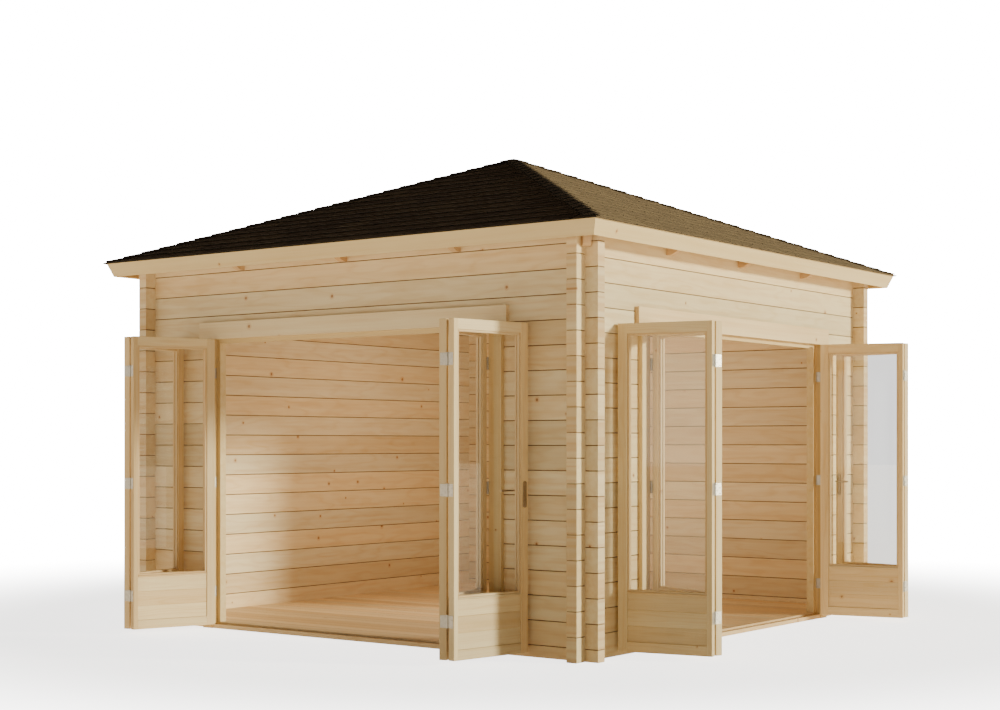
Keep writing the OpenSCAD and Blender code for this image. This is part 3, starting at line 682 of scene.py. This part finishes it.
def slopePlace(turn):
    return turned(turn) @ shifted(0, -roof["eaveHalf"], roof["eaveZ"]) @ turned(roof["pitch"], "X")


def markTone(piece, value, long=None):
    for key in ("tabToneAndSun", "tabRise"):
        piece.data.attributes.new(key, "FLOAT", "POINT")
    tones, rises = (piece.data.attributes[key].data for key in ("tabToneAndSun", "tabRise"))
    for index, v in enumerate(piece.data.vertices):
        tones[index].value = value
        rises[index].value = v.co.y / long if long else 1.0
    return piece


# One tab: thick at its lower edge, sunk and thin from its bend on
def makeTab():
    look = shingleLook
    long, half = roof["step"] + look["lap"], (look["tab"] - look["slot"]) / 2
    bend = long * look["bend"]
    tab = block((-half, 0, look["under"] - look["tuck"]), (half, long, roof["butt"]))
    editAll(tab)
    bpy.ops.mesh.bisect(plane_co=(0, bend, 0), plane_no=(0, 1, 0))
    leaveEdit()
    pick(tab, "VERT", lambda v: abs(v.co.y - bend) < 0.001 or v.co.y > bend and v.co.z > look["under"])
    bpy.ops.transform.translate(value=(0, 0, roof["thin"] - roof["butt"] - look["thinner"]))
    leaveEdit()
    easeEdges(tab, look["ease"], 1)
    tab.name = "tabPattern"
    return markTone(tab, 0.5, long)


tabPattern = makeTab()


# Courses of tabs on a thin bed, cut along both hips
def makeSlope(name, turn, buttShade, paintedSun, seed):
    dice = random.Random(seed)
    look = shingleLook
    eaveHalf, drip = roof["eaveHalf"], roof["drip"]
    pieces = []
    row = 0
    while row * roof["step"] - drip < slopeLength:
        low = row * roof["step"] - drip
        reach = eaveHalf + drip - max(low, -drip) * math.cos(tilt)
        start = (0.5 if row % 2 else 0.0) + dice.uniform(-look["shift"], look["shift"])
        most = int(reach / look["tab"]) + 2
        for n in range(-most, most + 1):
            x = (n + start) * look["tab"]
            if abs(x) - look["tab"] / 2 > reach:
                continue
            tab = copyPiece(tabPattern, "tab")
            thick = dice.choice(look["thickness"])
            x += dice.uniform(-look["aside"], look["aside"])
            y = low + (dice.uniform(0, look["jitter"]) if row else 0.0)
            tab.data.transform(shifted(x, y, 0) @ Matrix.Scale(thick, 4, (0, 0, 1)))
            # tab tone: random, raised on the sunlit slopes as painted sunlight
            tone = paintedSun + look["toneSpread"] * dice.random()
            for item in tab.data.attributes["tabToneAndSun"].data:
                item.value = tone
            for item in tab.data.attributes["tabRise"].data:
                # painted shade under the butts is stronger on the less lit slopes
                item.value *= buttShade
            pieces.append(tab)
        row += 1
    bed = block((-eaveHalf - 2 * drip, look["bedBack"] - drip, 0),
                (eaveHalf + 2 * drip, slopeLength + look["bedPast"], look["under"] - look["bedGap"]))
    # the bed shows only in the slots: darkest tone, under the full painted shade
    pieces.append(markTone(bed, 0.0))
    slope = joinPieces(pieces, name)
    putAt(slope, slopePlace(turn))
    for no in ((1, 1, 0), (-1, 1, 0)):
        sliceOff(slope, (0, 0, 0), turned(turn) @ Vector(no))
    return slope


for side, look in slopeLook.items():
    slope = makeSlope(side + "_shingle_tabs", look["turn"], look["buttShade"], look["paintedSun"],
                      shingleLook["seed"] + look["turn"])
    finishPiece(slope, finishes["shingle"], "shingle_felt", side + "_shingles")
bpy.data.objects.remove(tabPattern)
print("shingle tabs laid on four slopes")

hipLook = {"half": 0.055, "long": 0.18, "show": 0.125, "thick": 0.0045, "rise": 0.0095, "over": 0.0050,
           "crease": 0.0010, "covered": 1.06, "first": 0.002, "last": 0.03, "jitter": 0.003,
           "reach": 2.0480, "top": 3.2940, "seed": 40}


# A cap bent over the hip, in the hip's own frame: Y up the hip, X level across it
def makeCap():
    look = hipLook
    cap = block((-look["half"], 0, 0), (look["half"], look["long"], look["thick"]))
    editAll(cap)
    bpy.ops.mesh.bisect(plane_co=(0, 0, 0), plane_no=(1, 0, 0))
    leaveEdit()
    fold = math.atan(math.sin(hipPitch))
    for side in (-1, 1):  # bend each half down
        pick(cap, "VERT", lambda v: v.co.x * side > 0.001)
        bpy.ops.transform.rotate(value=-fold * side, orient_axis="Y", center_override=(0, 0, 0))
        leaveEdit()
    editAll(cap)
    bpy.ops.transform.rotate(value=math.atan(look["rise"] / look["long"]), orient_axis="X",
                             center_override=(0, look["long"], 0))
    bpy.ops.transform.translate(value=(0, 0, look["over"] - look["crease"]))
    leaveEdit()
    cap.name = "capPattern"
    return markTone(cap, 0.5, look["show"] * look["covered"])


# Caps up one hip, each half in its slope's tone and painted sunlight, cut at the apex and the eaves
def makeHip(name, turn, sides, seed):
    dice = random.Random(seed)
    look = hipLook
    paintedSun = [slopeLook[side]["paintedSun"] for side in sides]
    eaveHalf = roof["eaveHalf"]
    low = shifted(eaveHalf, -eaveHalf, roof["eaveZ"]) @ turned(45) @ turned(math.degrees(hipPitch), "X")
    length = eaveHalf * math.sqrt(2) / math.cos(hipPitch)
    pieces, along = [], look["first"]
    while along < length - look["last"]:
        cap = copyPiece(capPattern, "cap")
        cap.data.transform(shifted(dice.uniform(-look["jitter"], look["jitter"]), along, 0))
        tone = shingleLook["toneSpread"] * dice.random()
        for v, item in zip(capPattern.data.vertices, cap.data.attributes["tabToneAndSun"].data):
            item.value = tone + (paintedSun[0] if v.co.x < 0.001 else paintedSun[1])
        pieces.append(cap)
        along += look["show"]
    hip = joinPieces(pieces, name)
    spin = turned(turn)
    putAt(hip, spin @ low)
    for no in ((-1, 0, 0), (0, 1, 0)):
        sliceOff(hip, (0, 0, 0), spin @ Vector(no))
    for no in ((1, 0, 0), (0, -1, 0)):
        sliceOff(hip, spin @ (Vector(no) * look["reach"]), spin @ Vector(no))
    sliceOff(hip, (0, 0, look["top"]), (0, 0, 1))
    return hip


capPattern = makeCap()
for name, turn, sides in (("front_right", 0, ("front", "right")), ("back_right", 90, ("right", "back")),
                          ("back_left", 180, ("back", "left")), ("front_left", 270, ("left", "front"))):
    hip = makeHip(name + "_hip_caps", turn, sides, hipLook["seed"] + turn)
    finishPiece(hip, finishes["shingle"], "shingle_felt")
bpy.data.objects.remove(capPattern)
print("hip caps laid on four hips")

hingeLook = {"heights": (0.217, 0.9515, 1.686), "radius": 0.0034, "deep": 0.0010, "rim": 0.0009,
             "slot": 0.0008, "proud": 0.0003, "recess": 0.0006,
             "spots": ((0.016, 0.026), (0.036, 0.009), (0.016, -0.009), (0.036, -0.026))}


# Countersunk screw head with a recess, its axis along X
def makeScrew():
    look = hingeLook
    deselectAll()
    bpy.ops.mesh.primitive_cylinder_add(vertices=12, radius=look["radius"], depth=look["deep"],
                                        rotation=(0, math.radians(90), 0))
    screw = bpy.context.object
    applyPlace()
    pick(screw, "FACE", lambda face: face.normal.x > 0.9)
    bpy.ops.mesh.inset(thickness=look["rim"])
    bpy.ops.transform.translate(value=(look["proud"], 0, 0))
    bpy.ops.mesh.inset(thickness=look["slot"])
    bpy.ops.mesh.extrude_region_move(TRANSFORM_OT_translate={"value": (-look["recess"], 0, 0)})
    leaveEdit()
    screw.name = "screwPattern"
    return screw


screwPattern = makeScrew()


# Screws of one plate: pin at the origin, plate towards +Y, shown face towards the given side
def plateScrews(side):
    heads = []
    for y, z in hingeLook["spots"]:
        head = copyPiece(screwPattern, "head")
        head.data.transform(shifted(side * hingeLook["proud"], y, z) @ turned(0 if side > 0 else 180))
        heads.append(head)
    return heads


for wallName, keys in (("front", ("front_left", "front_right")), ("right", ("right_near", "right_far"))):
    heads = []
    for key in keys:
        pair = pairs[key]
        side = Matrix.Identity(4) if pair["side"] > 0 else mirrorX
        for z in hingeLook["heights"]:
            z += leafSize["lift"]
            fixed = turned(pair["wall"]) @ side @ shifted(jambPin[0], jambPin[1], z)
            folded = openPose(pair) @ shifted(foldPin[0], foldPin[1], z)
            for base, angle in ((fixed, 90 + pair["lean"]), (folded, 180 - pair["vee"])):
                for plate, facingSide in ((base, -1), (base @ turned(angle), 1)):
                    for head in plateScrews(facingSide):
                        head.data.transform(plate)
                        heads.append(head)
    screws = joinPieces(heads, wallName + "_hinge_screws")
    turnOutward(screws)
    finishPiece(screws, finishes["steel"], "hinge_steel")
bpy.data.objects.remove(screwPattern)
print("hinge screws set")

handleLook = {"height": 0.918, "plateH": 0.153, "plateW": 0.026, "plateT": 0.006, "plateRound": 0.42,
              "rim": 0.0022, "proud": 0.0008, "lever": 0.105, "leverR": 0.0055, "leverZ": 0.021,
              "leverOut": 0.038, "bend": 0.014, "collarR": 0.0105, "collar": 0.007, "collarEase": 0.0012,
              "barrel": 0.0085, "barrelLong": 0.006, "barrelIn": 0.0025, "barrelRim": 0.0012,
              "barrelDown": 0.040, "slotHalf": 0.0042, "slotEase": 0.0018, "slotY": (0.0034, 0.003),
              "slotZ": (0.021, 0.004), "smooth": 35}


def handlePlate():
    h = handleLook
    plate = block((-h["plateW"] / 2, -h["plateT"], -h["plateH"] / 2), (h["plateW"] / 2, 0, h["plateH"] / 2))
    depths = [v.co.y for v in plate.data.vertices]
    pick(plate, "EDGE", lambda edge: abs(depths[edge.vertices[0]] - depths[edge.vertices[1]]) > 0.004)
    bpy.ops.mesh.bevel(offset=h["plateW"] * h["plateRound"], segments=6, affect="EDGES")
    leaveEdit()
    pick(plate, "FACE", lambda face: face.normal.y < -0.9)
    bpy.ops.mesh.inset(thickness=h["rim"])
    bpy.ops.transform.translate(value=(0, -h["proud"], 0))
    leaveEdit()
    return plate


# A round bar across the leaf, its middle at y and z
def crossBar(radius, depth, y, z):
    deselectAll()
    bpy.ops.mesh.primitive_cylinder_add(vertices=24, radius=radius, depth=depth, location=(0, y, z),
                                        rotation=(math.radians(90), 0, 0))
    made = bpy.context.object
    applyPlace()
    return made


def lockBarrel():
    h = handleLook
    y, z = -h["plateT"] - h["barrelIn"], -h["barrelDown"]
    barrel = crossBar(h["barrel"], h["barrelLong"], y, z)
    pick(barrel, "FACE", lambda face: face.normal.y < -0.9)
    bpy.ops.mesh.inset(thickness=h["barrelRim"])
    bpy.ops.mesh.extrude_region_move(TRANSFORM_OT_translate={"value": (0, h["barrelRim"], 0)})
    leaveEdit()
    slot = block((-h["slotHalf"], y - h["slotY"][0], z - h["slotZ"][0]),
                 (h["slotHalf"], y + h["slotY"][1], z - h["slotZ"][1]), h["slotEase"])
    return [barrel, slot]


# A bent bar out of the plate and along the leaf, with a collar round its root
def leverArm():
    h = handleLook
    deselectAll()
    bpy.ops.curve.primitive_bezier_curve_add()
    arm = bpy.context.object
    arm.data.dimensions = "3D"
    arm.data.bevel_depth = h["leverR"]
    arm.data.bevel_resolution = 4
    arm.data.use_fill_caps = True
    bend, y = h["bend"], -h["plateT"] - h["leverOut"]
    spline = arm.data.splines[0]
    spline.bezier_points.add(2)
    marks = [((0, -h["plateT"], 0), (0, y + bend + 0.004, 0)), ((0, y + bend, 0), (0, y + bend * 0.4, 0)),
             ((bend, y, 0), (bend + 0.02, y, 0)),
             ((h["lever"], y + 0.003, 0), (h["lever"] + 0.01, y + 0.004, 0))]
    for point, (spot, nextSpot) in zip(spline.bezier_points, marks):
        step = Vector(nextSpot) - Vector(spot)
        point.co = spot
        point.handle_left_type = point.handle_right_type = "FREE"
        point.handle_right = Vector(spot) + step
        point.handle_left = Vector(spot) - step
    useOnly(arm)
    bpy.ops.object.convert(target="MESH")
    arm = bpy.context.object
    collar = crossBar(h["collarR"], h["collar"], -h["plateT"] - h["collar"] / 2, 0)
    easeEdges(collar, h["collarEase"], 2)
    for made in (arm, collar):
        made.data.transform(shifted(0, 0, h["leverZ"]))
    return [arm, collar]


handleSet = joinPieces([handlePlate()] + lockBarrel() + leverArm(), "handleSet")
plainPlate = joinPieces([handlePlate()] + lockBarrel(), "plainPlate")
otherFace = shifted(0, leafSize["thick"], 0) @ Matrix.Scale(-1, 4, (0, 1, 0))
for wallName, key in (("front", "front_right"), ("right", "right_far")):
    spot = foldPose(pairs[key]) @ leadPlace @ shifted(leafSize["stile"] / 2, 0, handleLook["height"])
    outer = putAt(copyPiece(handleSet, "outer"), spot)
    inner = putAt(copyPiece(plainPlate, "inner"), spot @ otherFace)
    handle = joinPieces([outer, inner], wallName + "_handle_set")
    turnOutward(handle)
    useOnly(handle)
    bpy.ops.object.shade_smooth_by_angle(angle=math.radians(handleLook["smooth"]))
    finishPiece(handle, finishes["dark"], "handle_metal", wallName + "_door_handle")
bpy.data.objects.remove(handleSet)
bpy.data.objects.remove(plainPlate)
print("handles made: 2")

# Floor, light and camera
stageLook = {"size": 160, "below": 0.0004, "floor": (0.80, 0.785, 0.765, 1), "mottle": (0.72, 0.70, 0.68, 1),
             "mottleShare": 0.06, "seenFrom": (3.4, 9.0), "seenGlow": (3.0, 20.0),
             "seenColor": (1.0, 0.99, 0.98, 1), "glow": 0.70, "glowCorner": (2.0, -2.3, 0.0),
             "glowFrom": (0.5, 4.6), "glowSides": (0.58, 2.4), "glowColor": (1.0, 0.805, 0.54, 1),
             "throughGlass": 1.5, "backdrop": 20.0}
lightLook = {"sun": 4.7, "sunColor": (1.0, 0.965, 0.74), "sunAzimuth": 25.0, "sunHeight": 10.5,
             "sunWidth": 7.0, "band": (0.34, 3.2), "bandFrom": (-0.80, -0.60, 0.0), "bandTurn": (0.1, 0.9),
             "bandHeight": (0.02, 0.16), "top": 0.004, "skyColor": (1.0, 0.89, 0.70, 1), "fill": 44.0,
             "fillColor": (1.0, 0.86, 0.66), "fillRadius": 0.45, "fillAt": (0, 0, 1.45)}
viewLook = {"at": (7.1012, -9.7796, 1.2450), "turn": 36.462, "sensor": 36.0, "lens": 60.33, "shift": 0.0882,
            "far": 300}


# Brightness of what the camera sees straight on, through a pane, or doesn't see
def seenBrightness(tree, seen, throughGlass, lighting):
    path = addNode(tree, "LightPath")
    behind = calc(tree, "GREATER_THAN", path.outputs["Transparent Depth"], 0.5)
    shown = calc(tree, "MULTIPLY_ADD", behind, calc(tree, "SUBTRACT", throughGlass, seen), seen)
    camera = path.outputs["Is Camera Ray"]
    light = calc(tree, "MULTIPLY", calc(tree, "SUBTRACT", 1.0, camera), lighting)
    return calc(tree, "MULTIPLY_ADD", camera, shown, light), camera


def makeStage():
    look = stageLook
    deselectAll()
    bpy.ops.mesh.primitive_plane_add(size=look["size"], location=(0, 0, -look["below"]))
    floor = bpy.context.object
    floor.name = "studio_floor"
    applyPlace()
    made, tree, shader = startMaterial("paleFloor")
    spot = addNode(tree, "TexCoord").outputs["Object"]
    mottle = noise(tree, spot, 1.5, 3.0).outputs["Fac"]
    mottle = ramp(tree, mottle, 0.3, 0.7, 0.0, look["mottleShare"])
    color = blendColor(tree, mottle, look["floor"], look["mottle"])
    away = addNode(tree, "VectorMath", {0: spot}, operation="LENGTH").outputs["Value"]
    seen = ramp(tree, away, *look["seenFrom"], *look["seenGlow"])
    corner = addNode(tree, "VectorMath", {0: spot, 1: look["glowCorner"]}, operation="DISTANCE")
    glow = ramp(tree, corner.outputs["Value"], *look["glowFrom"], *look["glowSides"], smooth=False)
    glow = calc(tree, "MULTIPLY", glow, look["glow"])
    bright, camera = seenBrightness(tree, seen, look["throughGlass"], glow)
    shown = blendColor(tree, camera, look["glowColor"], look["seenColor"])
    setInputs(tree, shader, {"Base Color": color, "Roughness": 0.9, "Emission Color": shown,
                             "Emission Strength": bright})
    floor.data.materials.append(made)


# A low sun, light round the horizon, little from above, and a soft fill inside
def makeLight():
    look = lightLook
    deselectAll()
    bpy.ops.object.light_add(type="SUN", location=(6, 3, 4))
    sun = bpy.context.object
    sun.name = "lowSun"
    azimuth, height = math.radians(look["sunAzimuth"]), math.radians(look["sunHeight"])
    flat = math.cos(height)
    towards = Vector((math.cos(azimuth) * flat, math.sin(azimuth) * flat, math.sin(height)))
    sun.rotation_euler = towards.to_track_quat("Z", "Y").to_euler()
    sun.data.energy = look["sun"]
    sun.data.color = look["sunColor"]
    sun.data.angle = math.radians(look["sunWidth"])
    bpy.ops.object.light_add(type="POINT", radius=look["fillRadius"], location=look["fillAt"])
    fill = bpy.context.object
    fill.name = "insideFill"
    fill.data.energy = look["fill"]
    fill.data.color = look["fillColor"]
    world = bpy.data.worlds.new("studio")
    bpy.context.scene.world = world
    world.use_nodes = True
    tree = world.node_tree
    tree.nodes.clear()
    ray = addNode(tree, "TexCoord").outputs["Generated"]
    up = addNode(tree, "SeparateXYZ", {"Vector": ray}).outputs["Z"]
    side = addNode(tree, "VectorMath", {0: ray, 1: look["bandFrom"]}, operation="DOT_PRODUCT")
    around = ramp(tree, side.outputs["Value"], *look["bandTurn"], *look["band"])
    low = ramp(tree, up, *look["bandHeight"], 1.0, 0.0)
    lighting = calc(tree, "MULTIPLY_ADD", around, low, look["top"])
    bright, camera = seenBrightness(tree, stageLook["backdrop"], stageLook["throughGlass"], lighting)
    color = blendColor(tree, camera, look["skyColor"], (1.0, 1.0, 1.0, 1))
    sky = addNode(tree, "Background", {"Color": color, "Strength": bright})
    addNode(tree, "OutputWorld", {0: sky.outputs[0]})


def makeCamera():
    look = viewLook
    deselectAll()
    bpy.ops.object.camera_add(location=look["at"], rotation=(math.radians(90), 0, math.radians(look["turn"])))
    camera = bpy.context.object
    camera.data.sensor_width = look["sensor"]
    camera.data.lens = look["lens"]
    camera.data.shift_y = look["shift"]
    camera.data.clip_end = look["far"]
    bpy.context.scene.camera = camera


makeStage()
makeLight()
makeCamera()
print("stage, light and camera set")
